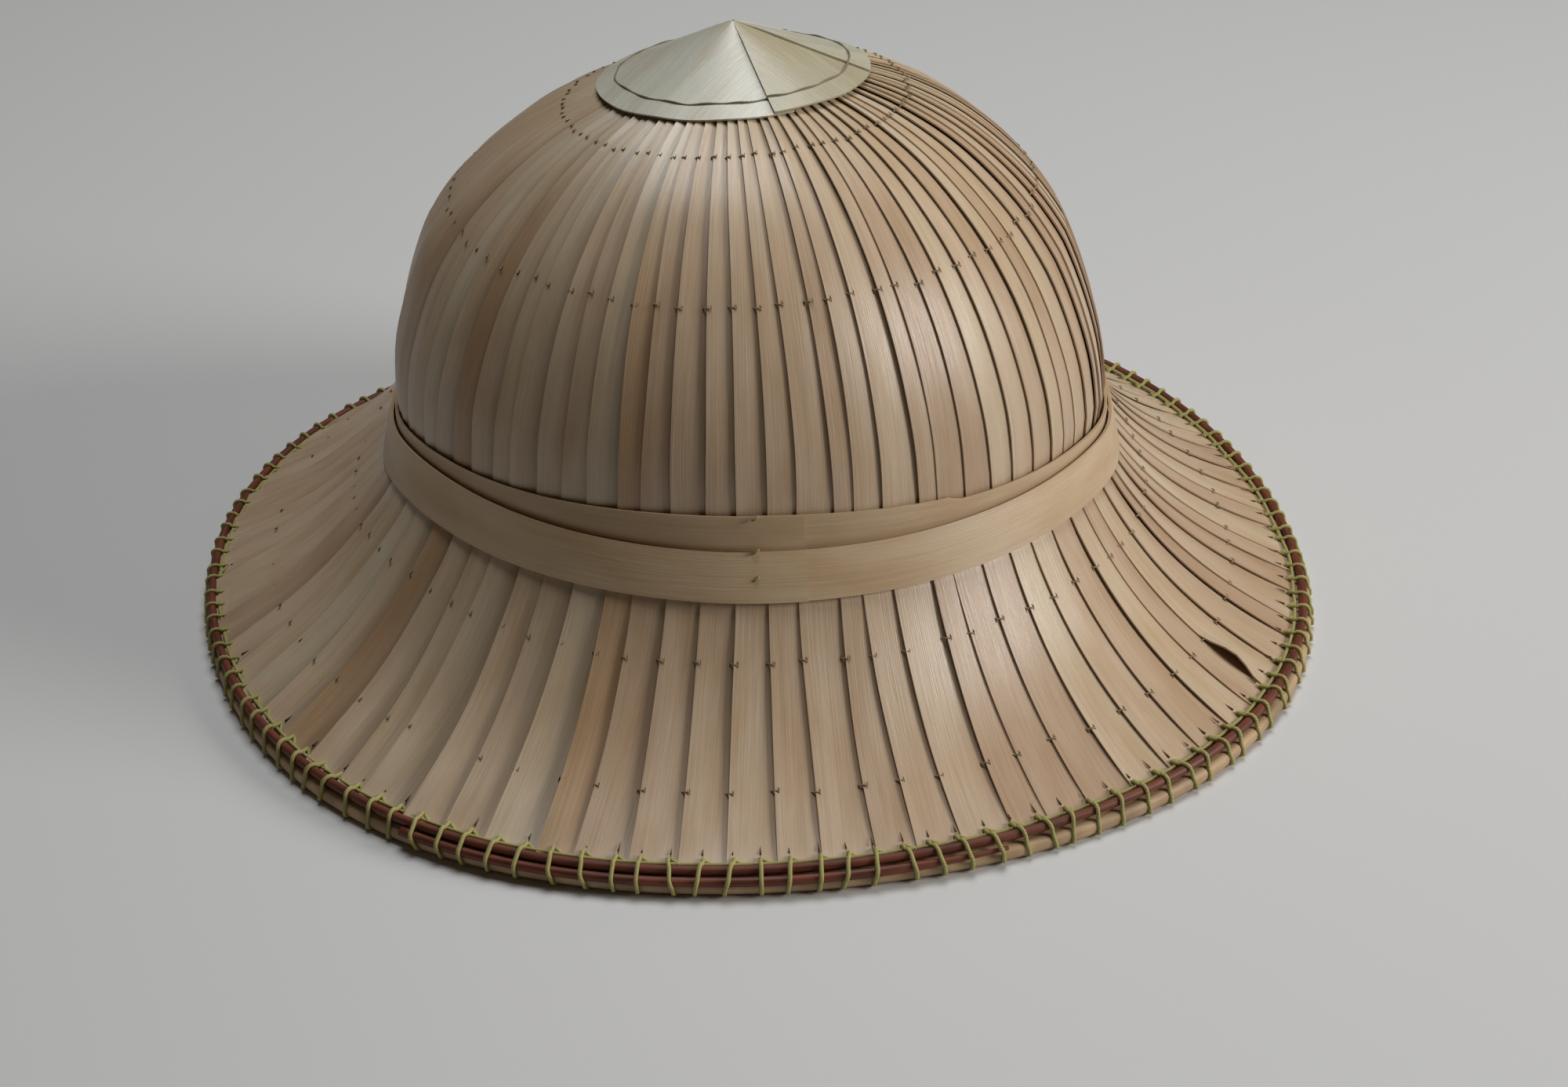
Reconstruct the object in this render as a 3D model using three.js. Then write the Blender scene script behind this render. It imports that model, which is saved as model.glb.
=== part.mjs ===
// Palm-leaf sun helmet in the pith helmet shape, as an assembly of separate pieces. Millimetres, +Z up.
// The viewer stands at -Y. Angles run counter-clockwise from +X, seen from above.
import * as THREE from 'three';

// Driving dimensions
const apexHeight = 169; // top of the cap above the surface that the rim rests on
const stripCount = 80; // leaf strips around the helmet
const stripStep = 0.8; // height of each strip's raised edge over its neighbour
const leafThickness = 1.2; // leaf wall under the strips
const seatGap = 0.35; // clearance between pieces that lie on each other
const brimEdgeRadius = 163.5; // raised strip edges at the end of the brim
const brimEdgeHeight = 4.7;
const bandFootRadius = 112.6; // outside of the lower band at its lower edge
const bandFootHeight = 53.5;
const bandLineRadius = 106.8; // outside of the lower band at its upper edge
const bandLineHeight = 65.4;
const bandTopRadius = 103.6; // outside of the upper band at its upper edge
const bandTopHeight = 74;
const lowerBandThickness = 1.3;
const upperBandThickness = 1.0;
const caneRadius = 1.3;
const capEdgeRadius = 37.5;
const capThickness = 1.1;
const capLaps = 3; // lapped leaf sectors of the cap
const capLapStep = 0.7;
const firstStripAngle = THREE.MathUtils.degToRad(-91.6); // raised edge of the strip at the front
const firstCapLapAngle = THREE.MathUtils.degToRad(-73);

// The brim is slightly out of round, with four soft lobes and a longer front that fade out towards the bands
const brimLobes = 4;
const brimLobeHeight = 2.6;
const brimLobeAngle = THREE.MathUtils.degToRad(-33);
const brimForward = 2.5;

// The brim is shorter at the back on the left
const shortBrimDepth = 12;
const shortBrimAngle = THREE.MathUtils.degToRad(130);

// The hand-made crown leans and tilts a little, more and more from its wall up to the cap's edge
const crownLean = -4.6;
const crownTiltRight = 0.075; // rise for each unit to the right, under the cap
const crownTiltFront = 0.045; // rise for each unit to the front, under the cap
const leanStartHeight = 70;
const leanFullHeight = 155;

// At both sides the bend under the bands is narrower and lower, and less of the upper band shows
const sideTuck = 5;
const sideDrop = 10;
const sideDropTopHeight = 110; // crown height above which the wall no longer drops
const upperBandSideDip = 5.8;

// Share of a pleat's width at which its tucked edge meets the next strip's raised edge
const tuckedShare = 0.95;

// Raised strip edges of the crown, from under the lower band up to the hole under the cap
const crownRows = [
  { radius: 105.2, height: 60.2 },
  { radius: 103.2, height: 65.4 },
  { radius: 101.9, height: bandTopHeight },
  { radius: 99, height: 88 },
  { radius: 92.5, height: 104 },
  { radius: 84.5, height: 117 },
  { radius: 75, height: 128 },
  { radius: 62, height: 139 },
  { radius: 48.5, height: 146.9 },
  { radius: 37, height: 151.6 },
  { radius: 26, height: 155.2 },
  { radius: 14, height: 157.8 },
];
const crownStations = 10;

// The brim starts under the lower band, then falls in a bell curve to its edge
const brimStartRadius = 105.3;
const brimStartHeight = 59.8;
const brimCurveSteps = 5;
const brimStartSlope = 0.5; // run for each unit of fall at the band
const brimEndSlope = 0.42; // fall for each unit of run at the edge

// How far a value has come from one limit to another, from 0 to 1
function shareBetween(value, from, to) {
  return THREE.MathUtils.clamp((value - from) / (to - from), 0, 1);
}

// Places a point of the helmet from its radius, angle and height, with all that is uneven about it
function place(radius, angle, height) {
  const brimShare = shareBetween(radius, bandFootRadius, brimEdgeRadius);
  const wallShare = shareBetween(height, sideDropTopHeight, bandTopHeight);
  const dropShare = wallShare * shareBetween(height, brimEdgeHeight, bandFootHeight);
  const bendShare = shareBetween(height, bandTopHeight, bandFootHeight) * (1 - brimShare);
  const leanShare = shareBetween(height, leanStartHeight, leanFullHeight) ** 2;
  const lobe = brimLobeHeight * brimShare * Math.cos(brimLobes * (angle - brimLobeAngle));
  const short = shortBrimDepth * brimShare * Math.max(Math.cos(angle - shortBrimAngle), 0) ** 4;
  const tuck = sideTuck * bendShare * Math.cos(angle) ** 4;
  const drop = sideDrop * dropShare * Math.cos(angle) ** 12;
  const reach = radius + lobe - short - tuck;
  const x = reach * Math.cos(angle);
  const y = reach * Math.sin(angle);
  const rise = (crownTiltRight * x - crownTiltFront * y) * leanShare;
  return new THREE.Vector3(x + crownLean * leanShare, y - brimForward * brimShare, height + rise - drop);
}

// A closed geometry from its vertices and the vertex numbers of its triangles
function solidOf(vertices, triangles) {
  const geometry = new THREE.BufferGeometry();
  geometry.setFromPoints(vertices);
  geometry.setIndex(triangles);
  geometry.computeVertexNormals();
  return geometry;
}

// The outward normal at each station of a profile that runs from its foot to its top
function withNormals(profile) {
  return profile.map((point, index) => {
    const before = profile[Math.max(index - 1, 0)];
    const after = profile[Math.min(index + 1, profile.length - 1)];
    const along = new THREE.Vector2().subVectors(after, before).normalize();
    return { point, outward: new THREE.Vector2(along.y, -along.x) };
  });
}

// A thin wall of overlapping strips around the axis: a saw-toothed outside and a smooth inside.
// Each strip's first edge is raised and its last edge is tucked under the next strip.
// The first strip's raised edge lies at the start angle.
function pleatedWall({ profile, pleats, steps, rise, thickness, start }) {
  const stations = withNormals(profile);
  const pitch = 2 * Math.PI / pleats;
  const vertices = [];
  const triangles = [];
  const outerCount = pleats * (steps + 1);
  const innerCount = pleats * steps;
  const last = stations.length - 1;

  // A station's point sunk below the raised edges by the given depth
  function sunk(station, depth, angle) {
    const { point, outward } = station;
    return place(point.x - outward.x * depth, angle, point.y - outward.y * depth);
  }

  for (const station of stations) {
    for (let pleat = 0; pleat < pleats; pleat += 1) {
      for (let step = 0; step <= steps; step += 1) {
        const share = step < steps ? step / steps : 1 - (1 - tuckedShare) / steps;
        vertices.push(sunk(station, rise * share, start + (pleat + share) * pitch));
      }
    }
  }
  const innerStart = vertices.length;
  for (const station of stations) {
    for (let spoke = 0; spoke < innerCount; spoke += 1) {
      vertices.push(sunk(station, rise + thickness, start + spoke / steps * pitch));
    }
  }

  const outer = (station, index) => station * outerCount + index % outerCount;
  const inner = (station, index) => innerStart + station * innerCount + index % innerCount;

  // Walls between neighbouring stations, the inside with its faces turned
  for (let station = 0; station < last; station += 1) {
    for (let index = 0; index < outerCount; index += 1) {
      const corner = outer(station + 1, index + 1);
      triangles.push(outer(station, index), outer(station, index + 1), corner);
      triangles.push(outer(station, index), corner, outer(station + 1, index));
    }
    for (let index = 0; index < innerCount; index += 1) {
      const corner = inner(station + 1, index + 1);
      triangles.push(inner(station, index), corner, inner(station, index + 1));
      triangles.push(inner(station, index), inner(station + 1, index), corner);
    }
  }

  // Edges at the foot and the top, which join the outside to the inside
  function edgeTriangle(station, first, second, third) {
    if (station === 0) triangles.push(first, second, third);
    else triangles.push(first, third, second);
  }
  for (const station of [0, last]) {
    for (let pleat = 0; pleat < pleats; pleat += 1) {
      for (let step = 0; step < steps; step += 1) {
        const edge = pleat * (steps + 1) + step;
        const spoke = pleat * steps + step;
        edgeTriangle(station, outer(station, edge), inner(station, spoke), inner(station, spoke + 1));
        edgeTriangle(station, outer(station, edge), inner(station, spoke + 1), outer(station, edge + 1));
      }
      const tucked = pleat * (steps + 1) + steps;
      const nextSpoke = inner(station, (pleat + 1) * steps);
      edgeTriangle(station, outer(station, tucked), nextSpoke, outer(station, tucked + 1));
    }
  }
  return solidOf(vertices, triangles);
}

// A ring, or an arc of one, from the section that it has at each angle.
// A section is a loop of radius and height, counter-clockwise with the radius to the right.
function sweptSection({ sectionAt, segments, from = 0, to = 2 * Math.PI }) {
  const whole = to - from >= 2 * Math.PI - 1e-9;
  const stations = whole ? segments : segments + 1;
  const sides = sectionAt(from).length;
  const vertices = [];
  const triangles = [];
  for (let station = 0; station < stations; station += 1) {
    const angle = from + (to - from) * station / segments;
    for (const point of sectionAt(angle)) vertices.push(place(point.x, angle, point.y));
  }
  const at = (station, side) => (station % stations) * sides + side % sides;
  for (let station = 0; station < segments; station += 1) {
    for (let side = 0; side < sides; side += 1) {
      const corner = at(station + 1, side + 1);
      triangles.push(at(station, side), at(station + 1, side), corner);
      triangles.push(at(station, side), corner, at(station, side + 1));
    }
  }
  if (!whole) {
    for (let side = 1; side < sides - 1; side += 1) {
      triangles.push(at(0, 0), at(0, side), at(0, side + 1));
      triangles.push(at(segments, 0), at(segments, side + 1), at(segments, side));
    }
  }
  return solidOf(vertices, triangles);
}

// A round section for a cane
function roundSection(radius, height, size, sides) {
  const section = [];
  for (let side = 0; side < sides; side += 1) {
    const turn = 2 * Math.PI * side / sides;
    section.push(new THREE.Vector2(radius + size * Math.cos(turn), height + size * Math.sin(turn)));
  }
  return section;
}

// Crown: the dome of leaf strips
const crownCurve = new THREE.SplineCurve(crownRows.map((row) => new THREE.Vector2(row.radius, row.height)));
const crownGeometry = pleatedWall({
  profile: crownCurve.getSpacedPoints(crownStations - 1),
  pleats: stripCount,
  steps: 1,
  rise: stripStep,
  thickness: leafThickness,
  start: firstStripAngle,
});

// Brim: the same strips below the bands, in a bell curve whose two end slopes meet at its handle
const brimTop = new THREE.Vector2(bandFootRadius - lowerBandThickness - seatGap, bandFootHeight);
const brimRun = brimEdgeRadius - brimTop.x - brimStartSlope * (brimTop.y - brimEdgeHeight);
const brimHandleRun = brimRun / (1 - brimStartSlope * brimEndSlope);
const brimHandle = new THREE.Vector2(
  brimEdgeRadius - brimHandleRun,
  brimEdgeHeight + brimEndSlope * brimHandleRun,
);
const brimEdge = new THREE.Vector2(brimEdgeRadius, brimEdgeHeight);
const brimCurve = new THREE.QuadraticBezierCurve(brimEdge, brimHandle, brimTop);
const brimGeometry = pleatedWall({
  profile: [...brimCurve.getPoints(brimCurveSteps), new THREE.Vector2(brimStartRadius, brimStartHeight)],
  pleats: stripCount,
  steps: 1,
  rise: stripStep,
  thickness: leafThickness,
  start: firstStripAngle,
});

// Lower band: the wide strip over the bend between crown and brim
const bandSegments = 72;
const lowerBandSection = [
  new THREE.Vector2(bandFootRadius - lowerBandThickness, bandFootHeight),
  new THREE.Vector2(bandFootRadius, bandFootHeight),
  new THREE.Vector2(bandLineRadius, bandLineHeight),
  new THREE.Vector2(bandLineRadius - lowerBandThickness, bandLineHeight),
];
const lowerBandGeometry = sweptSection({ sectionAt: () => lowerBandSection, segments: bandSegments });

// Upper band: the narrow strip that comes out from behind the lower one, and shows less at both sides
const upperBandHiddenDepth = 4; // how far it reaches down behind the lower band
const upperBandFootRadius = 106.2;
const upperBandFootHeight = bandLineHeight - upperBandHiddenDepth;
const upperBandLine = new THREE.Vector2(bandLineRadius - lowerBandThickness - seatGap, bandLineHeight);
const upperBandTop = new THREE.Vector2(bandTopRadius, bandTopHeight);
function upperBandSection(angle) {
  const dip = upperBandSideDip * (1 - Math.sin(angle) ** 4);
  const top = upperBandTop.clone().lerp(upperBandLine, dip / (bandTopHeight - bandLineHeight));
  return [
    new THREE.Vector2(upperBandFootRadius - upperBandThickness, upperBandFootHeight),
    new THREE.Vector2(upperBandFootRadius, upperBandFootHeight),
    upperBandLine,
    top,
    new THREE.Vector2(top.x - upperBandThickness, top.y),
    new THREE.Vector2(upperBandLine.x - upperBandThickness, upperBandLine.y),
  ];
}
const upperBandGeometry = sweptSection({ sectionAt: upperBandSection, segments: bandSegments });

// Top cap: a shallow cone of lapped leaf sectors, whose edge lies on the crown strips
const capSteps = 16;
const capTipRadius = 0.8;
const crownAtCap = crownRows.find((row) => row.radius < capEdgeRadius);
const capEdgeHeight = crownAtCap.height + capLapStep + capThickness + seatGap;
const capShoulderRise = 0.56; // share of the cap's rise that it reaches halfway to the tip
const capShoulderHeight = capEdgeHeight + (apexHeight - capEdgeHeight) * capShoulderRise;
const capShoulder = new THREE.Vector2(capEdgeRadius / 2, capShoulderHeight);
const capGeometry = pleatedWall({
  profile: [
    new THREE.Vector2(capEdgeRadius, capEdgeHeight),
    capShoulder,
    new THREE.Vector2(capTipRadius, apexHeight),
  ],
  pleats: capLaps,
  steps: capSteps,
  rise: capLapStep,
  thickness: capThickness,
  start: firstCapLapAngle,
});

// Rim: a pale bamboo splint under the brim edge, with the flat underside that the helmet rests on
const rimSegments = 64;
const splintMiddle = 162.5;
const splintHalfWidth = 1.9;
const splintHeight = 2.2;
const splintFlat = 1.5; // half the width of its flat underside
const splintSection = [
  new THREE.Vector2(splintMiddle - splintFlat, 0),
  new THREE.Vector2(splintMiddle + splintFlat, 0),
  new THREE.Vector2(splintMiddle + splintHalfWidth, splintHeight / 2),
  new THREE.Vector2(splintMiddle + splintFlat, splintHeight),
  new THREE.Vector2(splintMiddle - splintFlat, splintHeight),
  new THREE.Vector2(splintMiddle - splintHalfWidth, splintHeight / 2),
];
const splintGeometry = sweptSection({ sectionAt: () => splintSection, segments: rimSegments });

// Rim: a dark cane on top of the brim edge, all the way around
const caneSides = 6;
const caneCentreRadius = brimEdgeRadius - 0.1;
const caneCentreHeight = brimEdgeHeight + caneRadius + 0.5;
const caneSection = roundSection(caneCentreRadius, caneCentreHeight, caneRadius, caneSides);
const caneGeometry = sweptSection({ sectionAt: () => caneSection, segments: rimSegments });

// Rim: the cane's lapped end, a second turn beside the first along the front
const lapFrom = THREE.MathUtils.degToRad(-129);
const lapTo = THREE.MathUtils.degToRad(-66);
const lapSegments = 14;
const lapDrop = 1.8;
const lapSpacing = 2 * caneRadius + seatGap;
const lapReach = Math.sqrt(lapSpacing ** 2 - lapDrop ** 2);
const lapRadius = caneCentreRadius + lapReach;
const lapSection = roundSection(lapRadius, caneCentreHeight - lapDrop, caneRadius, caneSides);
const lapGeometry = sweptSection({
  sectionAt: () => lapSection,
  segments: lapSegments,
  from: lapFrom,
  to: lapTo,
});

// Assembly
const leafColour = 0xbca27f;
const capColour = 0xc9c2a4;
const bandColour = 0xbb9f77;
const splintColour = 0xc8a872;
const caneColour = 0x6e3828;
const pieces = [
  { name: 'crown', geometry: crownGeometry, color: leafColour, roughness: 0.6 },
  { name: 'brim', geometry: brimGeometry, color: leafColour, roughness: 0.6 },
  { name: 'lower_band', geometry: lowerBandGeometry, color: bandColour, roughness: 0.55 },
  { name: 'upper_band', geometry: upperBandGeometry, color: bandColour, roughness: 0.55 },
  { name: 'top_cap', geometry: capGeometry, color: capColour, roughness: 0.45 },
  { name: 'rim_splint', geometry: splintGeometry, color: splintColour, roughness: 0.5 },
  { name: 'rim_cane', geometry: caneGeometry, color: caneColour, roughness: 0.5 },
  { name: 'rim_cane_lap', geometry: lapGeometry, color: caneColour, roughness: 0.5 },
];

const helmet = new THREE.Group();
for (const { name, geometry, color, roughness } of pieces) {
  const material = new THREE.MeshStandardMaterial({ color, roughness, metalness: 0 });
  const mesh = new THREE.Mesh(geometry, material);
  mesh.name = name;
  helmet.add(mesh);
}

// The origin lies on the resting surface, under the middle of the helmet's outline
const middle = new THREE.Box3().setFromObject(helmet).getCenter(new THREE.Vector3());
helmet.position.set(-middle.x, -middle.y, 0);

export default helmet;
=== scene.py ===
"""Looks for the palm-leaf sun helmet: leaf strips, bands, cap, bound rim and stitches over the CAD frame."""
import math
import random

import bpy
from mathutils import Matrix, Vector, noise


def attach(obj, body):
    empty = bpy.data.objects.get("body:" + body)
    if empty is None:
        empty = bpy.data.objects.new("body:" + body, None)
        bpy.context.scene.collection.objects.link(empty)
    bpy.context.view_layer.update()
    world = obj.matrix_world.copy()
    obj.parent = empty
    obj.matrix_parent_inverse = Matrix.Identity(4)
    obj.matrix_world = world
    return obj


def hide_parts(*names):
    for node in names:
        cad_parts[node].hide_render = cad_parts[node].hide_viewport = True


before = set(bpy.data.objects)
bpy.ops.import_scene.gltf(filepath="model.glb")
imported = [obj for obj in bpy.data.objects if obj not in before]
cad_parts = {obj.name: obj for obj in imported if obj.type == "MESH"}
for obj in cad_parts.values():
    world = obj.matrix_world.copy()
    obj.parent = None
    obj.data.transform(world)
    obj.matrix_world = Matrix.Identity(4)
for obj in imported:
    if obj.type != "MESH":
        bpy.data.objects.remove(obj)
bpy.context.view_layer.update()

# Driving sizes in millimetres, as in the CAD model
MM = 0.001
ORIGIN_SHIFT = (-1.0658, 5.1618)
APEX_HEIGHT = 169.0
CROWN_LEAN = -4.6
CROWN_TILT_RIGHT, CROWN_TILT_FRONT = 0.075, 0.045
LEAN_START, LEAN_FULL = 70.0, 155.0
SIDE_TUCK, SIDE_DROP, SIDE_DROP_TOP = 5.0, 10.0, 110.0
UPPER_BAND_SIDE_DIP = 5.8
STRIP_COUNT = 80
BAND_FOOT = (112.6, 53.5)
BAND_LINE = (106.8, 65.4)
BAND_TOP = (103.6, 74.0)
BRIM_EDGE = (163.5, 4.7)
BRIM_START_SLOPE = 0.5
BRIM_END_SLOPE = 0.42
LEAF_UNDER_BAND = 1.65
LOBES, LOBE_HEIGHT, LOBE_ANGLE = 4, 2.6, math.radians(-33)
BRIM_FORWARD = 2.5
SHORT_BRIM_DEPTH, SHORT_BRIM_ANGLE = 12.0, math.radians(130)
CANE_RADIUS = 1.3
CANE_CENTRE = (BRIM_EDGE[0] - 0.1, BRIM_EDGE[1] + 1.8)
CAP_EDGE = (37.5, 153.75)
FRONT = -math.pi / 2

# Camera, from a perspective fit of the rim, the bands and the outline
PHOTO_WIDTH = 2000
FOCAL_PIXELS = 3591.0
CAMERA_ELEVATION = math.radians(30.9)
CAMERA_DISTANCE = 0.850
CAMERA_TARGET = Vector((0.0084, 0.0052, 0.004))

chance = random.Random(11)


def share_between(value, start, end):
    """How far a value has come from one limit to another, from 0 to 1."""
    return min(max((value - start) / (end - start), 0.0), 1.0)


def place(radius, angle, height):
    """A point of the helmet in metres, uneven in the same ways as the CAD model."""
    brim_share = share_between(radius, BAND_FOOT[0], BRIM_EDGE[0])
    wall_share = share_between(height, SIDE_DROP_TOP, BAND_TOP[1])
    drop_share = wall_share * share_between(height, BRIM_EDGE[1], BAND_FOOT[1])
    bend_share = share_between(height, BAND_TOP[1], BAND_FOOT[1]) * (1 - brim_share)
    lean_share = share_between(height, LEAN_START, LEAN_FULL) ** 2
    lobe = LOBE_HEIGHT * brim_share * math.cos(LOBES * (angle - LOBE_ANGLE))
    short = SHORT_BRIM_DEPTH * brim_share * max(math.cos(angle - SHORT_BRIM_ANGLE), 0.0) ** 4
    tuck = SIDE_TUCK * bend_share * math.cos(angle) ** 4
    drop = SIDE_DROP * drop_share * math.cos(angle) ** 12
    reach = radius + lobe - short - tuck
    x = reach * math.cos(angle)
    y = reach * math.sin(angle)
    rise = (CROWN_TILT_RIGHT * x - CROWN_TILT_FRONT * y) * lean_share
    x += CROWN_LEAN * lean_share + ORIGIN_SHIFT[0]
    y += ORIGIN_SHIFT[1] - BRIM_FORWARD * brim_share
    return Vector((x, y, height + rise - drop)) * MM


def wander(*where):
    """Smooth noise between about -1 and 1."""
    return noise.noise(Vector(where))


def smooth(value):
    """A soft step from 0 to 1."""
    value = min(max(value, 0.0), 1.0)
    return value * value * (3 - 2 * value)


# Meridian of the leaf strips, from under the cap to the brim edge
CROWN_ROWS = [
    (14, 157.8), (26, 155.2), (37, 151.6), (48.5, 146.9), (62, 139), (75, 128), (84.5, 117), (92.5, 104),
    (99, 88), (101.9, 74), (103.2, 65.4), (105.2, 60.2), (BAND_FOOT[0] - LEAF_UNDER_BAND, BAND_FOOT[1]),
]


def spline(rows, steps):
    """Points of a Catmull-Rom curve through the rows."""
    points = []
    for i in range(len(rows) - 1):
        a, b = rows[max(i - 1, 0)], rows[i]
        c, d = rows[i + 1], rows[min(i + 2, len(rows) - 1)]
        for step in range(steps):
            t = step / steps
            points.append(tuple(
                b[n] + 0.5 * t * (c[n] - a[n] + t * (2 * a[n] - 5 * b[n] + 4 * c[n] - d[n]
                                                     + t * (3 * (b[n] - c[n]) + d[n] - a[n])))
                for n in (0, 1)))
    points.append(rows[-1])
    return points


def brim_curve(steps):
    """Points of the brim's bell curve, from the band to the edge."""
    top = CROWN_ROWS[-1]
    run = BRIM_EDGE[0] - top[0] - BRIM_START_SLOPE * (top[1] - BRIM_EDGE[1])
    run = run / (1 - BRIM_START_SLOPE * BRIM_END_SLOPE)
    handle = (BRIM_EDGE[0] - run, BRIM_EDGE[1] + BRIM_END_SLOPE * run)
    points = []
    for step in range(1, steps + 1):
        t = step / steps
        points.append(tuple((1 - t) ** 2 * top[n] + 2 * t * (1 - t) * handle[n] + t * t * BRIM_EDGE[n]
                            for n in (0, 1)))
    return points


def even_stations(points, count):
    """Points at even distances along a line, with outward normals and the distance from its start."""
    lengths = [0.0]
    for before, after in zip(points, points[1:]):
        lengths.append(lengths[-1] + math.dist(before, after))
    stations = []
    index = 0
    for step in range(count + 1):
        want = lengths[-1] * step / count
        while index < len(points) - 2 and lengths[index + 1] < want:
            index += 1
        a, b = points[index], points[index + 1]
        span = lengths[index + 1] - lengths[index]
        t = (want - lengths[index]) / span
        along = ((b[0] - a[0]) / span, (b[1] - a[1]) / span)
        stations.append((a[0] + t * (b[0] - a[0]), a[1] + t * (b[1] - a[1]), -along[1], along[0], want))
    return stations


STRIP_STATIONS = 64
MERIDIAN = even_stations(spline(CROWN_ROWS, 12) + brim_curve(40), STRIP_STATIONS)
LEAF_LENGTH = MERIDIAN[-1][4]


def on_leaf(share, angle, lift):
    """A point above the leaf meridian: share of its length from the top, and height over it."""
    spot = min(max(share, 0.0), 1.0) * STRIP_STATIONS
    index = min(int(spot), STRIP_STATIONS - 1)
    t = spot - index
    a, b = MERIDIAN[index], MERIDIAN[index + 1]
    radius, height, out, up = (a[n] + t * (b[n] - a[n]) for n in range(4))
    return place(radius + out * lift, angle, height + up * lift)


# Mesh helpers
class Shape:
    """Vertices and faces of one piece, with a place on the leaf, a tone and a painted shade for each vertex.
    """

    def __init__(self):
        self.points, self.faces, self.spots, self.tones, self.painted_shades = [], [], [], [], []

    def grid(self, rows, spots, tones, painted_shades=None):
        """A sheet from rows of points, with a tone for each row and, where given, a painted shade for each
        point.
        """
        start, across = len(self.points), len(rows[0])
        for r, row in enumerate(rows):
            self.points += row
            self.spots += spots[r]
            self.tones += [tones[r]] * across
            self.painted_shades += painted_shades[r] if painted_shades else [1.0] * across
        for r in range(len(rows) - 1):
            for c in range(across - 1):
                a = start + r * across + c
                b = a + across
                self.faces.append((a, b, b + 1, a + 1))

    def tube(self, path, radius, sides=6, closed=False, tone=0.5, flat=1.0):
        """A tube along a path of points, with a flat face at each end of an open one."""
        start, count = len(self.points), len(path)
        side_way = None
        travelled = 0.0
        for i, point in enumerate(path):
            before = path[(i - 1) % count] if closed or i else point
            after = path[(i + 1) % count] if closed or i < count - 1 else point
            ahead = (after - before).normalized()
            if side_way is None:
                side_way = ahead.orthogonal().normalized()
            side_way = (side_way - ahead * side_way.dot(ahead)).normalized()
            other_way = ahead.cross(side_way)
            size = radius(i / max(count - 1, 1)) if callable(radius) else radius
            travelled += (point - path[i - 1]).length if i else 0.0
            for side in range(sides):
                turn = 2 * math.pi * side / sides
                spoke = side_way * math.cos(turn) + other_way * math.sin(turn) * flat
                self.points.append(point + spoke * size)
                self.spots.append((side / sides, travelled / MM, tone * 50))
                self.tones.append(tone)
                self.painted_shades.append(1.0)
        for i in range(count if closed else count - 1):
            for side in range(sides):
                a, b = start + i * sides, start + (i + 1) % count * sides
                following = (side + 1) % sides
                self.faces.append((a + side, a + following, b + following, b + side))
        if not closed:
            self.faces.append(tuple(start + side for side in reversed(range(sides))))
            last = start + (count - 1) * sides
            self.faces.append(tuple(last + side for side in range(sides)))

    def make(self, name, material, nodes=(), thickness=0.0):
        """The finished object, which rides on the helmet."""
        mesh = bpy.data.meshes.new(name)
        mesh.from_pydata([tuple(point) for point in self.points], [], self.faces)
        mesh.validate()
        spot = mesh.attributes.new("leaf_spot", "FLOAT_VECTOR", "POINT")
        spot.data.foreach_set("vector", [number for row in self.spots for number in row])
        tone = mesh.attributes.new("leaf_tone", "FLOAT", "POINT")
        tone.data.foreach_set("value", self.tones)
        # Painted shade: how dark each point is painted where a strip goes under its neighbour
        shade = mesh.attributes.new("painted_leaf_shade", "FLOAT", "POINT")
        shade.data.foreach_set("value", self.painted_shades)
        mesh.polygons.foreach_set("use_smooth", [True] * len(mesh.polygons))
        mesh.materials.append(material)
        piece = bpy.data.objects.new(name, mesh)
        bpy.context.scene.collection.objects.link(piece)
        if thickness:
            solid = piece.modifiers.new("thickness", "SOLIDIFY")
            solid.thickness = thickness * MM
            solid.offset = -1
            crisp = piece.modifiers.new("crisp edges", "EDGE_SPLIT")
            crisp.split_angle = math.radians(40)
        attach(piece, "root")
        if nodes:
            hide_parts(*nodes)
        return piece


# Material helpers
def srgb(red, green, blue):
    """A linear colour from 0 to 255 display values."""
    def linear(value):
        value = value / 255
        return value / 12.92 if value <= 0.04045 else ((value + 0.055) / 1.055) ** 2.4
    return linear(red), linear(green), linear(blue), 1.0


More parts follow.
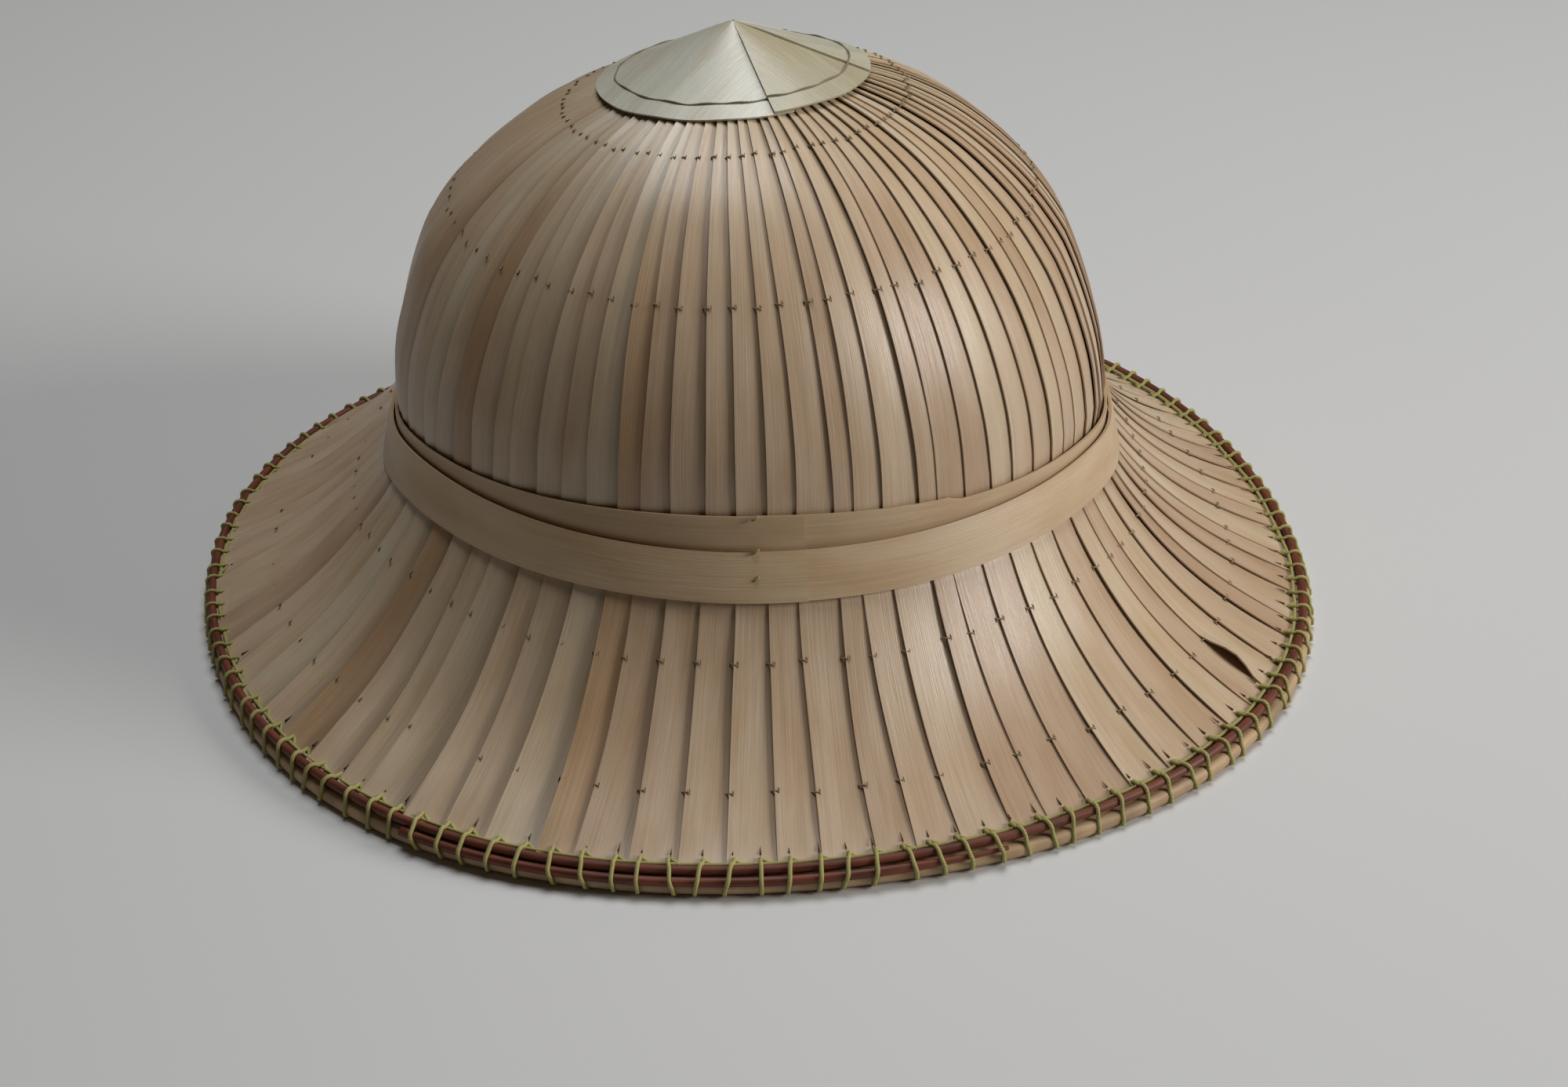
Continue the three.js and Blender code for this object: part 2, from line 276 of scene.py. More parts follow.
class Paint:
    """A node material under construction."""

    def __init__(self, name, roughness, specular=0.4):
        self.material = bpy.data.materials.new(name)
        self.material.use_nodes = True
        self.nodes = self.material.node_tree.nodes
        self.links = self.material.node_tree.links
        self.shader = self.nodes["Principled BSDF"]
        self.shader.inputs["Roughness"].default_value = roughness
        self.shader.inputs["Specular IOR Level"].default_value = specular

    def add(self, kind, **settings):
        """A new node with its settings."""
        node = self.nodes.new(kind)
        for key, value in settings.items():
            setattr(node, key, value)
        return node

    def read(self, name, output="Vector"):
        """An attribute of the mesh."""
        node = self.add("ShaderNodeAttribute")
        node.attribute_name = name
        return node.outputs[output]

    def stretched(self, source, scale):
        """A vector scaled by a different amount each way."""
        node = self.add("ShaderNodeVectorMath", operation="MULTIPLY")
        self.links.new(source, node.inputs[0])
        node.inputs[1].default_value = scale
        return node.outputs[0]

    def noise(self, source, scale, detail=3.0, roughness=0.55):
        """Soft noise over a vector."""
        node = self.add("ShaderNodeTexNoise")
        self.links.new(source, node.inputs["Vector"])
        node.inputs["Scale"].default_value = scale
        node.inputs["Detail"].default_value = detail
        node.inputs["Roughness"].default_value = roughness
        return node.outputs["Fac"]

    def ramp(self, source, stops):
        """A colour from a value, by stops of position and colour."""
        node = self.add("ShaderNodeValToRGB")
        band = node.color_ramp
        while len(band.elements) < len(stops):
            band.elements.new(0.5)
        for element, (position, colour) in zip(band.elements, stops):
            element.position = position
            element.color = colour
        self.links.new(source, node.inputs["Fac"])
        return node.outputs["Color"]

    def mix(self, factor, first, second, blend="MIX"):
        """Two colours mixed or blended."""
        node = self.add("ShaderNodeMix", data_type="RGBA", blend_type=blend)
        if isinstance(factor, float):
            node.inputs["Factor"].default_value = factor
        else:
            self.links.new(factor, node.inputs["Factor"])
        for socket, value in ((node.inputs[6], first), (node.inputs[7], second)):
            if isinstance(value, tuple):
                socket.default_value = value
            else:
                self.links.new(value, socket)
        return node.outputs[2]

    def spread(self, source, low, high):
        """Noise spread over the range from low to high."""
        node = self.add("ShaderNodeMapRange")
        self.links.new(source, node.inputs["Value"])
        node.inputs["From Min"].default_value = 0.3
        node.inputs["From Max"].default_value = 0.7
        node.inputs["To Min"].default_value = low
        node.inputs["To Max"].default_value = high
        return node.outputs["Result"]

    def colour(self, source):
        """Sets the base colour."""
        self.links.new(source, self.shader.inputs["Base Color"])

    def roughness(self, source):
        """Sets the roughness."""
        self.links.new(source, self.shader.inputs["Roughness"])

    def bump(self, source, strength, distance):
        """Raises and lowers the surface by a value."""
        node = self.add("ShaderNodeBump")
        node.inputs["Strength"].default_value = strength
        node.inputs["Distance"].default_value = distance
        self.links.new(source, node.inputs["Height"])
        self.links.new(node.outputs["Normal"], self.shader.inputs["Normal"])


def grey(value):
    """A linear grey."""
    return value, value, value, 1.0


# Noise scales for a millimetre across the leaf, for one along it, and from strip to strip
FIBRE_SCALE = (2.6, 0.035, 3.1)
VEIN_SCALE = (0.9, 0.008, 5.3)
BLOTCH_SCALE = (0.12, 0.03, 2.7)
STAIN_COLOUR = (0.90, 0.84, 0.77, 1)
# Colour of the painted shade where a leaf strip goes under its neighbour
PAINTED_SHADE_COLOUR = srgb(70, 52, 36)


def leaf_paint(name, stops, roughness, streak=0.86, gloss=0.6):
    """Dried palm leaf: a tone for each strip, soft blotches, fine fibres and painted shade where each strip
    is tucked under the next.
    """
    paint = Paint(name, roughness, gloss)
    spot = paint.read("leaf_spot")
    fibres = paint.noise(paint.stretched(spot, FIBRE_SCALE), 1.0, 4.0, 0.6)
    veins = paint.noise(paint.stretched(spot, VEIN_SCALE), 1.0, 2.0)
    blotches = paint.noise(paint.stretched(spot, BLOTCH_SCALE), 1.0, 3.0)
    tone = paint.ramp(paint.read("leaf_tone", "Fac"), stops)
    shade = paint.ramp(fibres, [(0.25, grey(streak)), (0.5, grey(0.95)), (0.75, grey(1.0))])
    colour = paint.mix(1.0, tone, shade, "MULTIPLY")
    dull = paint.ramp(veins, [(0.3, grey(0.92)), (0.65, grey(1.0))])
    colour = paint.mix(1.0, colour, dull, "MULTIPLY")
    stain = paint.ramp(blotches, [(0.35, STAIN_COLOUR), (0.6, grey(1.0))])
    colour = paint.mix(1.0, colour, stain, "MULTIPLY")
    # Painted shade where a strip goes under its neighbour
    tuck = paint.ramp(paint.read("painted_leaf_shade", "Fac"), [(0.0, PAINTED_SHADE_COLOUR), (1.0, grey(1.0))])
    colour = paint.mix(1.0, colour, tuck, "MULTIPLY")
    paint.colour(colour)
    paint.roughness(paint.spread(fibres, roughness - 0.08, roughness + 0.12))
    paint.bump(fibres, 0.35, 0.0003)
    return paint.material


# Leaf colours by tone: warm, middle, pale (also used for the painted sheen at the top of the crown), and
# brown for single strips
LEAF_STOPS = [
    (0.0, srgb(192, 163, 135)),
    (0.3, srgb(203, 177, 149)),
    (0.55, srgb(208, 184, 156)),
    (0.8, srgb(208, 185, 155)),
    (0.95, srgb(214, 199, 174)),
    (1.0, srgb(190, 158, 124)),
]
BAND_STOPS = [(0.0, srgb(200, 172, 138)), (1.0, srgb(206, 180, 146))]
# Cap tones: darker for the right-hand sector and paler for the left-hand one, painted shade and painted
# light by side
CAP_STOPS = [(0.0, srgb(192, 185, 158)), (1.0, srgb(222, 220, 204))]
leaf_material = leaf_paint("dried_leaf_strips", LEAF_STOPS, 0.34)
band_material = leaf_paint("leaf_bands", BAND_STOPS, 0.48, 0.88)
cap_material = leaf_paint("leaf_cap", CAP_STOPS, 0.27, 0.9)


# Noise scales around a cane and for a millimetre along it, and the same for a thread's plies
STREAK_SCALE = (9.0, 0.05, 1.0)
CANE_STAIN_SCALE = (0.6, 0.06, 1.0)
PLY_SCALE = (3.0, 2.2, 0.0)


def cane_paint(name, dark, light, roughness):
    """Peeled cane or split bamboo with streaks along its length."""
    paint = Paint(name, roughness)
    spot = paint.read("leaf_spot")
    streaks = paint.noise(paint.stretched(spot, STREAK_SCALE), 1.0, 4.0)
    stains = paint.noise(paint.stretched(spot, CANE_STAIN_SCALE), 1.0, 2.0)
    colour = paint.mix(streaks, dark, light)
    stain = paint.ramp(stains, [(0.35, grey(0.6)), (0.6, grey(1.0))])
    colour = paint.mix(1.0, colour, stain, "MULTIPLY")
    paint.colour(colour)
    paint.roughness(paint.spread(streaks, roughness, roughness + 0.2))
    paint.bump(streaks, 0.3, 0.0003)
    return paint.material


cane_material = cane_paint("dark_cane", srgb(56, 22, 13), srgb(146, 76, 48), 0.4)
splint_material = cane_paint("pale_bamboo", srgb(172, 136, 98), srgb(214, 184, 146), 0.42)


def thread_paint(name, first, second):
    """Twisted thread: plies that cross its length."""
    paint = Paint(name, 0.75, 0.2)
    spot = paint.read("leaf_spot")
    wave = paint.add("ShaderNodeTexWave", bands_direction="DIAGONAL")
    paint.links.new(paint.stretched(spot, PLY_SCALE), wave.inputs["Vector"])
    wave.inputs["Scale"].default_value = 0.6
    paint.colour(paint.mix(wave.outputs["Fac"], first, second))
    paint.bump(wave.outputs["Fac"], 0.5, 0.0002)
    return paint.material


binding_material = thread_paint("binding_thread", srgb(140, 136, 76), srgb(198, 190, 128))
stitch_material = thread_paint("stitch_thread", srgb(134, 116, 84), srgb(180, 163, 126))
cap_thread_material = thread_paint("cap_thread", srgb(116, 108, 88), srgb(168, 158, 134))
# Dark marks for the needle slits and holes: painted shade in the openings
slit_material = thread_paint("needle_slits", srgb(84, 62, 40), srgb(108, 84, 56))

# Leaf strips: each runs from under the cap, under both bands, to the rim.
# Its low-angle edge is raised, and its other edge is tucked under the next strip.
STRIP_ACROSS = 6
STRIP_PITCH = 2 * math.pi / STRIP_COUNT
STRIP_OVERLAP = 1.42
STRIP_THICKNESS = 0.45
FIRST_EDGE = FRONT + math.radians(-1.6)
EDGE_SWAY, EDGE_DRIFT = 0.17, 0.10
RISE_RANGE = (0.75, 1.3)
EDGE_RISE, LEFT_EXTRA_RISE = 0.7, 0.35
BRIM_EXTRA_RISE = 1.9
CROWN_EXTRA_RISE = 0.7
TUCK_SLOPE, TUCK_DEPTH = 1.3, 0.2
STRIP_RIPPLE, STRIP_BOW = 0.18, 0.12
LIFTED_STRIP, LIFT_MIDDLE, LIFT_HALF, LIFT_HEIGHT = 14, 0.935, 0.045, 3.2

# Shares of the leaf's length from the top
UNDER_BANDS, BELOW_BANDS, NEAR_RIM = 0.54, 0.68, 0.93
# Where the painted sheen at the top of the crown ends, and how far it fades
PAINTED_SHEEN_END, PAINTED_SHEEN_FADE = 0.36, 0.26

# Tones: single brown strips, warmer ones at the front, paler ones at the front left, and a painted sheen
# that turns every strip paler towards the top
BROWN_STRIPS = [-4 % STRIP_COUNT, -11 % STRIP_COUNT]
WARM_STRIPS = [number % STRIP_COUNT for number in range(-3, 6)]
PALE_STRIPS = [number % STRIP_COUNT for number in range(-14, -4)]
PLAIN_TONE_LIMIT, WARM_FACTOR, BROWN_TONE = 0.84, 0.6, 1.0
PALE_START, PALE_SPAN = 0.48, 0.52
PAINTED_SHEEN_TONE, PAINTED_SHEEN_AMOUNT = 0.95, 0.8

# Painted shade across a strip, where it goes under its neighbour
PAINTED_SHADE_START, PAINTED_SHADE_WIDTH = 0.36, 0.36
PAINTED_TUCK_SHADE, PAINTED_LEFT_SHADE = 0.08, 0.34


def leftness(angle):
    """0 on the right of the helmet, 1 on the left."""
    return (0.5 - 0.5 * math.cos(angle)) ** 2


def painted_tuck_shade(angle):
    """How dark the painted shade makes a strip where it goes under its neighbour: most on the left, away
    from the window.
    """
    return PAINTED_TUCK_SHADE + PAINTED_LEFT_SHADE * leftness(angle)


def step_at(share, start, width):
    """A soft step from 0 to 1 over a width of the leaf's length."""
    return smooth((share - start) / width)


def edge_rise(share, angle):
    """How far a strip's raised edge stands up: more on the left, less under the bands and at the rim."""
    left = leftness(angle)
    pressed = step_at(share, UNDER_BANDS, 0.05) * (1 - step_at(share, BELOW_BANDS, 0.06))
    on_brim = step_at(share, BELOW_BANDS, 0.12) * left
    on_crown = step_at(share, 0.2, 0.2) * (1 - step_at(share, 0.5, 0.08)) * left
    bound = step_at(share, NEAR_RIM, 0.07)
    extra = BRIM_EXTRA_RISE * on_brim + CROWN_EXTRA_RISE * on_crown + LEFT_EXTRA_RISE * left
    return (EDGE_RISE + extra) * (1 - 0.3 * pressed) * (1 - 0.5 * bound)


def edge_drift(number, share):
    """How far a strip wanders sideways, in shares of the pitch."""
    return EDGE_DRIFT * wander(number * 3.7, share * 4.0, 0.5)


def strip_tone(number, tone):
    """The tone of a strip, from its own draw and its place on the helmet."""
    if number in BROWN_STRIPS:
        return BROWN_TONE
    if number in WARM_STRIPS:
        return tone * WARM_FACTOR
    if number in PALE_STRIPS:
        return PALE_START + PALE_SPAN * tone
    return tone


def edge_lift(number, share, w):
    """How far the edge of one strip of the right brim has sprung up near the rim."""
    if number != LIFTED_STRIP:
        return 0.0
    near = max(1 - ((share - LIFT_MIDDLE) / LIFT_HALF) ** 2, 0.0)
    return LIFT_HEIGHT * near * near * max(1 - 2 * w, 0.0)


strips = Shape()
edge_angles = []
for number in range(STRIP_COUNT):
    sway = chance.uniform(-EDGE_SWAY, EDGE_SWAY)
    rise = chance.uniform(*RISE_RANGE)
    tone = strip_tone(number, chance.uniform(0.0, PLAIN_TONE_LIMIT))
    edge_angles.append(FIRST_EDGE + (number + sway) * STRIP_PITCH)
    rows, spots, tones, painted_shades = [], [], [], []
    for radius, height, out, up, along in MERIDIAN:
        share = along / LEAF_LENGTH
        drift = edge_drift(number, share)
        row, row_spots, row_painted_shades = [], [], []
        for column in range(STRIP_ACROSS + 1):
            w = column / STRIP_ACROSS
            angle = edge_angles[-1] + (drift + w * STRIP_OVERLAP) * STRIP_PITCH
            ripple = STRIP_RIPPLE * wander(number * 5.1, share * 7.0, w * 1.5)
            bow = STRIP_BOW * math.sin(math.pi * w)
            lift = edge_rise(share, angle) * rise * (1 - TUCK_SLOPE * w) + bow + ripple - TUCK_DEPTH * w
            lift += edge_lift(number, share, w)
            row.append(place(radius + out * lift, angle, height + up * lift))
            row_spots.append((w * STRIP_OVERLAP * STRIP_PITCH * radius, along, number * 1.37))
            # Painted shade towards the edge that goes under the next strip, most on the left
            row_painted_shades.append(1 - painted_tuck_shade(angle) * smooth((w - PAINTED_SHADE_START) / PAINTED_SHADE_WIDTH))
        rows.append(row)
        spots.append(row_spots)
        # Painted sheen: each strip turns paler towards the top of the crown
        painted_sheen = smooth((PAINTED_SHEEN_END - share) / PAINTED_SHEEN_FADE)
        tones.append(tone + (PAINTED_SHEEN_TONE - tone) * PAINTED_SHEEN_AMOUNT * painted_sheen)
        painted_shades.append(row_painted_shades)
    strips.grid(rows, spots, tones, painted_shades)
strips.make("leaf_strips", leaf_material, ("crown", "brim"), STRIP_THICKNESS)


# Bands: flat leaf strips wound around the bend, each with its ends lapped at the front
BAND_SEGMENTS = 360
BAND_ACROSS = 8
BAND_JOINT = FRONT + math.radians(1.1)
BAND_LAP = math.radians(7)
BAND_LAP_LIFT = 0.35
BAND_BULGE = 0.25
BAND_EDGE_WAVE = 0.35
BAND_WIDTH, BAND_LENGTH = 13, 700
UPPER_BAND_LINE = (105.15, BAND_LINE[1])
UPPER_BAND_FOOT = (105.7, 61.8)
STEP_START, STEP_END, STEP_DROP = math.radians(31), math.radians(120), 1.5


def upper_band_top(angle):
    """Radius and height of the upper band's top edge, which dips at the sides and steps on the right."""
    from_front = angle - FRONT
    step = smooth((from_front - STEP_START) / 0.02) * (1 - smooth((from_front - STEP_END) / 0.3))
    dip = UPPER_BAND_SIDE_DIP * (1 - math.sin(angle) ** 4) + STEP_DROP * step * math.sin(angle) ** 2
    t = dip / (BAND_TOP[1] - BAND_LINE[1])
    return tuple(BAND_TOP[n] + (UPPER_BAND_LINE[n] - BAND_TOP[n]) * t for n in (0, 1))


def band(name, node, foot, top_at, thickness, tone):
    """A band from its outside radius and height at the foot, and at the top for each angle."""
    shape = Shape()
    rows, spots = [], []
    for step in range(BAND_SEGMENTS + 1):
        turn = step / BAND_SEGMENTS
        angle = BAND_JOINT + turn * (2 * math.pi + BAND_LAP)
        top = top_at(angle)
        lap = BAND_LAP_LIFT * smooth((turn - 0.93) / 0.05)
        row, row_spots = [], []
        for column in range(BAND_ACROSS + 1):
            w = column / BAND_ACROSS
            shift = BAND_EDGE_WAVE * wander(math.cos(angle) * 2, math.sin(angle) * 2, w * 2 + thickness)
            radius = foot[0] + (top[0] - foot[0]) * w + BAND_BULGE * math.sin(math.pi * w) + lap
            height = foot[1] + (top[1] - foot[1]) * w + shift
            row.append(place(radius, angle, height))
            row_spots.append((w * BAND_WIDTH, turn * BAND_LENGTH, tone * 60))
        rows.append(row)
        spots.append(row_spots)
    shape.grid(rows, spots, [tone] * len(rows))
    return shape.make(name, band_material, (node,), thickness)


band("wide_lower_band", "lower_band", BAND_FOOT, lambda angle: BAND_LINE, thickness=0.9, tone=0.7)
band("narrow_upper_band", "upper_band", UPPER_BAND_FOOT, upper_band_top, thickness=0.8, tone=0.2)

# Top cap: leaf sectors in a shallow cone, each lapped over the next
CAP_SEAMS = [FRONT + math.radians(degrees) for degrees in (19, 82, 150)]
CAP_RINGS = 12
CAP_LAP = math.radians(9)
CAP_FIBRES = [FRONT + math.radians(degrees) for degrees in (50, 116, -40)]
CAP_HOLE = 0.3
CAP_SINK = 0.5
CAP_CURVE = 0.94
CAP_CURL = 0.5
CAP_LIFT = 0.75
CAP_THICKNESS = 0.6
CAP_POINT_RISE = 0.8
CAP_NARROWING = 0.07


def cap_sector(angle):
    """The number of the cap sector that is on top at an angle, and how far around it the angle lies."""
    best = (0, 2 * math.pi)
    for number, seam in enumerate(CAP_SEAMS):
        past = (angle - seam) % (2 * math.pi)
        if past < best[1]:
            best = (number, past)
    return best


def cap_reach(angle):
    """The cap's outline, a little narrower from front to back."""
    return 1 - CAP_NARROWING * math.sin(angle) ** 2


def cap_sweep(number):
    """The angle that a cap sector spans, with its lap under the next one."""
    return (CAP_SEAMS[(number + 1) % len(CAP_SEAMS)] - CAP_SEAMS[number]) % (2 * math.pi) + CAP_LAP


def sector_height(radius, angle, turn):
    """Height of a cap sector, which is lifted at its first edge and curls a little at the rim."""
    share = radius / CAP_EDGE[0]
    fall = (APEX_HEIGHT - CAP_EDGE[1]) * share ** CAP_CURVE
    curl = CAP_CURL * wander(math.cos(angle) * 2.2, math.sin(angle) * 2.2, 4.0) * share ** 3
    point = CAP_POINT_RISE * (1 - share)
    return APEX_HEIGHT - CAP_SINK + point - fall + CAP_LIFT * (1 - turn) * smooth(share * 4) + curl


def cap_height(radius, angle):
    """Height of the cap's surface."""
    number, past = cap_sector(angle)
    return sector_height(radius, angle, past / cap_sweep(number))


cap = Shape()
for number, seam in enumerate(CAP_SEAMS):
    sweep = cap_sweep(number)
    steps = max(int(math.degrees(sweep) / 4), 8)
    rows, spots = [], []
    for step in range(steps + 1):
        turn = step / steps
        angle = seam + sweep * turn
        row, row_spots = [], []
        for ring in range(CAP_RINGS + 1):
            share = ring / CAP_RINGS
            radius = CAP_HOLE + (CAP_EDGE[0] - CAP_HOLE) * share
            row.append(place(radius * cap_reach(angle), angle, sector_height(radius, angle, turn)))
            across = angle - CAP_FIBRES[number]
            row_spots.append((radius * math.sin(across), radius * math.cos(across), number * 2.1))
        rows.append(row)
        spots.append(row_spots)
    # Sector tones by side: painted shade on the right-hand sector, painted light on the left-hand one
    cap.grid(rows, spots, [number / 2] * len(rows))
cap.make("lapped_top_cap", cap_material, ("top_cap",), CAP_THICKNESS)


# Rim: the dark cane, its lapped end and the pale splint
def ring_path(radius, height, start, end, steps, wobble):
    """Points along the rim, slightly uneven."""
    points = []
    for step in range(steps + 1):
        angle = start + (end - start) * step / steps
        shake = wobble * wander(math.cos(angle) * 9, math.sin(angle) * 9, radius)
        points.append(place(radius + shake, angle, height + shake * 0.5))
    return points


RIM_STEPS = 220
RIM_WOBBLE = 0.25
CANE_SIDES = 10
cane = Shape()
cane_path = ring_path(*CANE_CENTRE, 0, 2 * math.pi, RIM_STEPS, RIM_WOBBLE)[:-1]
cane.tube(cane_path, CANE_RADIUS * MM, CANE_SIDES, closed=True, tone=0.3)
cane.make("dark_rim_cane", cane_material, ("rim_cane",))

LAP_START, LAP_END = math.radians(-122), math.radians(-66)
LAP_OUT, LAP_DOWN = 2.34, 1.8
LAP_CENTRE = (CANE_CENTRE[0] + LAP_OUT, CANE_CENTRE[1] - LAP_DOWN)
LAP_STEPS = 60
LAP_TAPER, LAP_TAPER_START = 0.55, 0.8


def lap_radius(t):
    """Radius of the lapped end, which tapers towards its tip."""
    return CANE_RADIUS * MM * (1 - LAP_TAPER * smooth((t - LAP_TAPER_START) / 0.2))


lap_cane = Shape()
lap_path = ring_path(*LAP_CENTRE, LAP_START, LAP_END, LAP_STEPS, RIM_WOBBLE)
lap_cane.tube(lap_path, lap_radius, CANE_SIDES, tone=0.7)
lap_cane.make("lapped_cane_end", cane_material, ("rim_cane_lap",))

SPLINT_CENTRE = (162.5, 2.3)
SPLINT_RADIUS, SPLINT_FLATNESS = 2.4, 0.94
SPLINT_SIDES = 12
SPLINT_HALF_REACH = 0.8
SPLINT_OUT_ANGLE = math.radians(-50)


def splint_reach(angle):
    """How far the splint stands out past the cane: most at the front right, not at all at the back left."""
    return SPLINT_HALF_REACH + SPLINT_HALF_REACH * math.cos(angle - SPLINT_OUT_ANGLE)


splint = Shape()
splint_path = []
for step in range(RIM_STEPS):
    angle = 2 * math.pi * step / RIM_STEPS
    splint_path.append(place(SPLINT_CENTRE[0] + splint_reach(angle), angle, SPLINT_CENTRE[1]))
splint.tube(splint_path, SPLINT_RADIUS * MM, SPLINT_SIDES, closed=True, tone=0.4, flat=SPLINT_FLATNESS)
splint.make("pale_rim_splint", splint_material, ("rim_splint",))

# Binding: a thread whipped over the rim, with a running thread along the cane's inner side
BINDING_COUNT = 134
BINDING_RADIUS = 0.58
BINDING_HOLE = 159.3
TURN_JITTER, TURN_SLANT = 0.1, 0.3
TAIL_POINTS = 4
RUNNING_THREAD, RUNNING_WOBBLE = (161.3, 6.75), 0.5
SLIT_START, SLIT_REACH = 0.975, (1.6, 3.4)
SLIT_RADIUS, SLIT_SIDES = 0.26, 5


def around(centre, degrees):
    """A point of the thread on a cane, by its direction from the cane's middle."""
    reach = CANE_RADIUS + BINDING_RADIUS * 0.75
    turn = math.radians(degrees)
    return centre[0] + reach * math.cos(turn), centre[1] + reach * math.sin(turn)


def binding_loop(out, lapped):
    """Radius and height along one turn: from its hole over the cane, down past the splint and back."""
    loop = [(BINDING_HOLE - 0.2, 6.4), (BINDING_HOLE + 0.6, 7.4)]
    loop += [around(CANE_CENTRE, degrees) for degrees in (150, 115, 80, 45)]
    if lapped:
        loop += [around(LAP_CENTRE, degrees) for degrees in (50, 20, -10, -45)]
    else:
        loop += [around(CANE_CENTRE, 10), (164.9 + out * 0.5, 4.4), (165.0 + out, 2.8)]
    loop += [(165.2 + out, 1.5), (164.0 + out, 0.7), (161.6 + out, 0.7), (160.0, 1.6), (159.4, 3.6)]
    return loop


def binding_tail(angle, t):
    """A point of the short thread that goes on from a turn along the cane."""
    return place(BINDING_HOLE + 0.4 + 0.55 * t, angle + math.radians(0.33 * t), 7.15 - 0.16 * t)


binding = Shape()
# Dark marks at the needle slits and holes: painted shade in the openings
slits = Shape()
for number in range(BINDING_COUNT):
    angle = 2 * math.pi * (number + chance.uniform(-TURN_JITTER, TURN_JITTER)) / BINDING_COUNT
    slant = math.radians(chance.uniform(-TURN_SLANT, TURN_SLANT))
    lapped = LAP_START < (angle - 2 * math.pi if angle > math.pi else angle) < LAP_END
    path = []
    for index, (radius, height) in enumerate(binding_loop(splint_reach(angle), lapped)):
        path.append(place(radius, angle + slant * (index - 3) / 3, height))
    binding.tube(path, BINDING_RADIUS * MM, closed=True, tone=number / BINDING_COUNT)
    tail = [binding_tail(angle, t) for t in range(TAIL_POINTS)]
    binding.tube(tail, BINDING_RADIUS * 0.8 * MM, tone=number / BINDING_COUNT)
    reach = chance.uniform(*SLIT_REACH)
    slit = [on_leaf(SLIT_START - reach / LEAF_LENGTH * t / 3, angle, 0.75 - 0.1 * t) for t in range(4)]
    slits.tube(slit, lambda t: SLIT_RADIUS * MM * (1.05 - t), SLIT_SIDES, tone=0.2)
run_path = ring_path(*RUNNING_THREAD, 0, 2 * math.pi, 3 * BINDING_COUNT, RUNNING_WOBBLE)[:-1]
binding.tube(run_path, BINDING_RADIUS * 0.9 * MM, closed=True)
binding.make("binding_thread", binding_material)

# Stitches: rows of short thread across each strip's raised edge
STITCH_ROWS = [0.154, 0.344, 0.751, 0.901]
STITCH_STEPS, STITCH_SIDES = 6, 5
STITCH_HALF, STITCH_RADIUS, STITCH_ARCH = 1.1, 0.22, 0.3
NEEDLE_HOLE_RADIUS = 0.15


def path_lift(share, angle, t):
    """Height of a stitch over the leaf, from the tucked strip at -1 to the raised edge at 1."""
    return 0.1 + edge_rise(share, angle) * smooth((t + 1) / 2)


def needle_hole_radius(t):
    """Radius of a needle hole's dark mark, painted shade in the hole, which is widest in the middle."""
    return NEEDLE_HOLE_RADIUS * MM * (1.1 - abs(2 * t - 1))


stitches = Shape()
for row, share in enumerate(STITCH_ROWS):
    for number, edge in enumerate(edge_angles):
        here = share + 0.008 * wander(number * 1.3, row * 5.0, 2.0)
        middle = edge + edge_drift(number, here) * STRIP_PITCH
        radius = (on_leaf(here, middle, 0) - place(0, 0, 0)).xy.length / MM
        half = min(STITCH_HALF / radius, 0.2 * STRIP_PITCH)
        path = []
        for step in range(STITCH_STEPS + 1):
            t = step / STITCH_STEPS * 2 - 1
            arch = path_lift(here, middle, t) + STITCH_ARCH * (1 - t * t)
            path.append(on_leaf(here + 0.0012 * t, middle + half * t, arch))
        stitches.tube(path, STITCH_RADIUS * MM, STITCH_SIDES)
        for end in (-1, 1):
            lift = path_lift(here, middle, end)
            hole = [on_leaf(here + 0.004 * t, middle + half * end, lift) for t in (-1, 0, 1)]
            slits.tube(hole, needle_hole_radius, SLIT_SIDES, tone=0.2)

# Running thread around the cap
CAP_THREAD_RING = 32.0
CAP_THREAD_RADIUS = 0.3
CAP_THREAD_STEPS = 240
cap_thread = Shape()
cap_ring = []
for step in range(CAP_THREAD_STEPS):
    turn = step / CAP_THREAD_STEPS
    angle = 2 * math.pi * turn
    radius = CAP_THREAD_RING + 0.7 * wander(math.cos(angle) * 4, math.sin(angle) * 4, 1.0)
    dip = 0.15 * math.sin(20 * angle)
    height = cap_height(radius, angle) + CAP_THICKNESS + 0.15 + dip
    cap_ring.append(place(radius * cap_reach(angle), angle, height))
cap_thread.tube(cap_ring, CAP_THREAD_RADIUS * MM, closed=True, tone=0.6)
cap_thread.make("cap_thread", cap_thread_material)

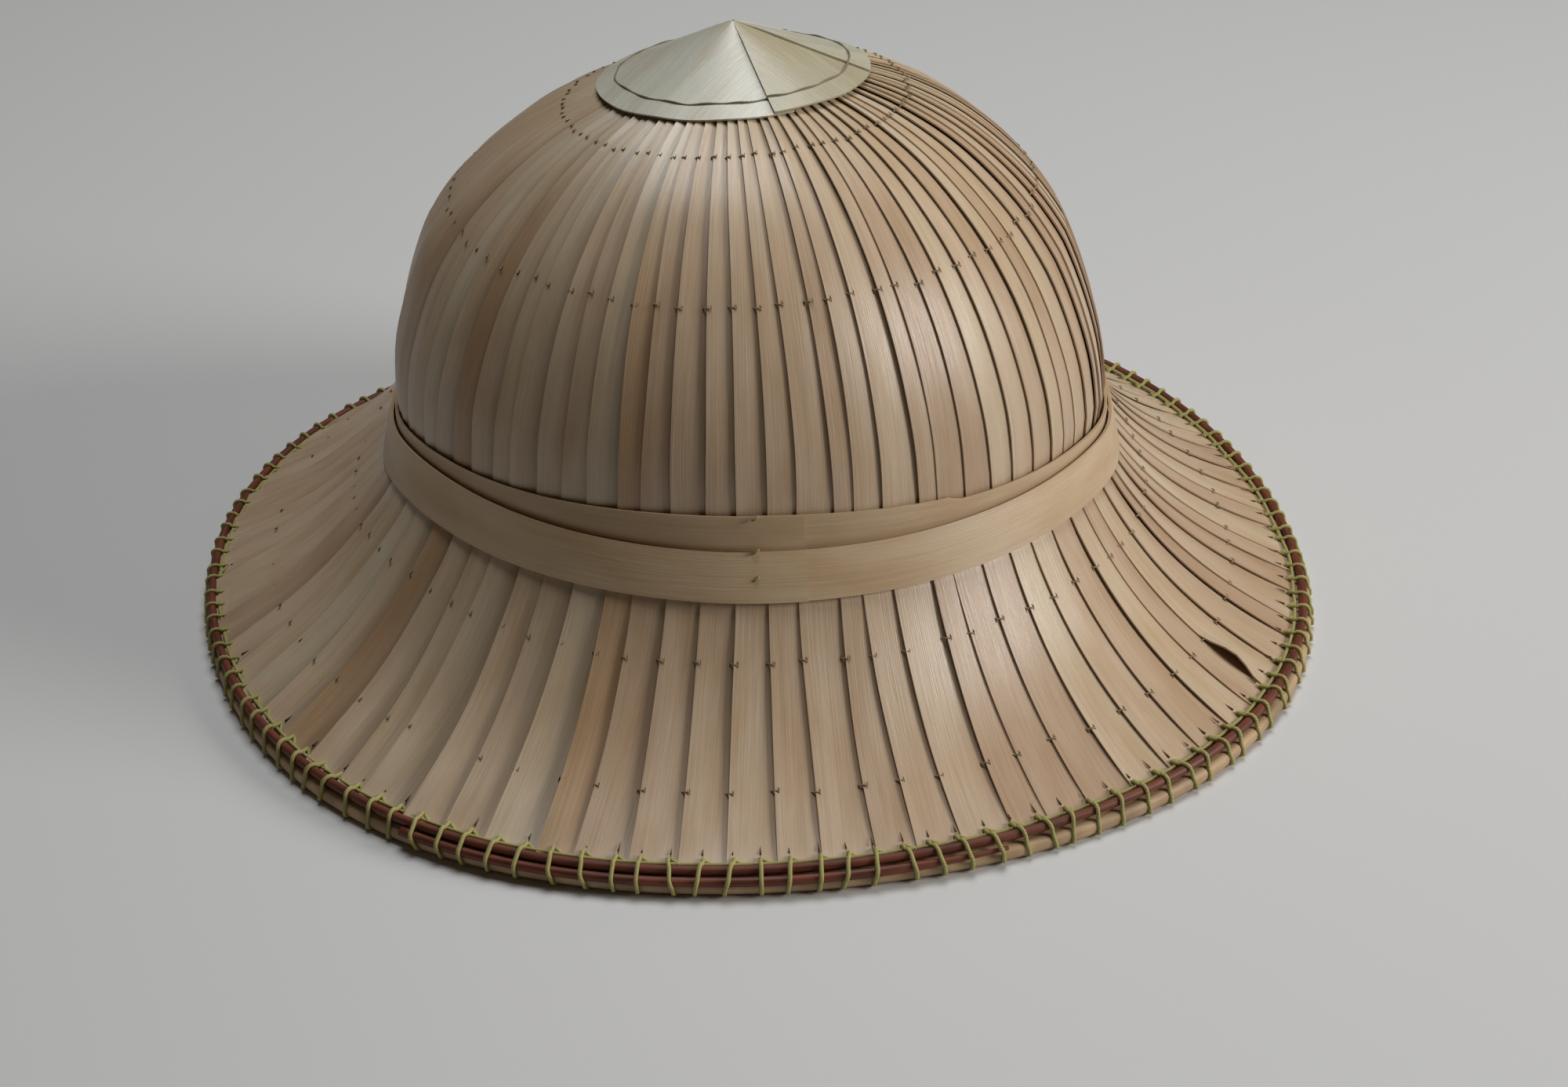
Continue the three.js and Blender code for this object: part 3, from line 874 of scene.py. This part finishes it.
# Stitches of the band joints, by radius and height
JOINT_STITCHES = [(104.7, 73.6), (107.4, 65.2), (110.2, 58.6)]
JOINT_STITCH_RADIUS = 0.4
for radius, height in JOINT_STITCHES:
    path = []
    for t in range(7):
        arch = 0.5 * math.sin(math.pi * t / 6)
        path.append(place(radius + arch, BAND_JOINT + math.radians(0.15 * t - 0.4), height + 0.2 * t))
    stitches.tube(path, JOINT_STITCH_RADIUS * MM, tone=0.9)
stitches.make("leaf_stitches", stitch_material)
slits.make("needle_slits", slit_material)


# Floor, lights and camera
def floor_piece(half):
    """A plain pale floor."""
    corners = [(-half, -half, 0), (half, -half, 0), (half, half, 0), (-half, half, 0)]
    mesh = bpy.data.meshes.new("floor")
    mesh.from_pydata(corners, [], [(0, 1, 2, 3)])
    paint = Paint("floor", 0.5, 0.3)
    paint.shader.inputs["Base Color"].default_value = srgb(214, 214, 214)
    mesh.materials.append(paint.material)
    floor = bpy.data.objects.new("floor", mesh)
    bpy.context.scene.collection.objects.link(floor)


floor_piece(half=6.0)


def area_light(name, where, aim, size, power, colour):
    """A round soft light that faces a point."""
    light = bpy.data.lights.new(name, "AREA")
    light.shape = "DISK"
    light.size = size
    light.energy = power
    light.color = colour
    lamp = bpy.data.objects.new(name, light)
    lamp.location = where
    lamp.rotation_euler = (Vector(aim) - Vector(where)).to_track_quat("-Z", "Y").to_euler()
    bpy.context.scene.collection.objects.link(lamp)


area_light("window", where=(1.65, -0.35, 0.76), aim=(0.0, 0.0, 0.07), size=0.8, power=20.8,
           colour=(1.0, 0.985, 0.94))
area_light("ceiling", where=(0.08, 0.35, 1.5), aim=(0.0, 0.0, 0.08), size=0.9, power=12.4,
           colour=(0.97, 0.985, 1.0))

world = bpy.data.worlds.new("studio")
world.use_nodes = True
background = world.node_tree.nodes["Background"]
background.inputs["Color"].default_value = (1.0, 0.8, 0.55, 1)
background.inputs["Strength"].default_value = 0.028
bpy.context.scene.world = world
bpy.context.scene.view_settings.view_transform = "Standard"

lens = bpy.data.cameras.new("camera")
lens.sensor_fit = "HORIZONTAL"
lens.lens = FOCAL_PIXELS / PHOTO_WIDTH * lens.sensor_width
camera = bpy.data.objects.new("camera", lens)
back = Vector((0, -math.cos(CAMERA_ELEVATION), math.sin(CAMERA_ELEVATION)))
camera.location = CAMERA_TARGET + back * CAMERA_DISTANCE
camera.rotation_euler = back.to_track_quat("Z", "Y").to_euler()
bpy.context.scene.collection.objects.link(camera)
bpy.context.scene.camera = camera
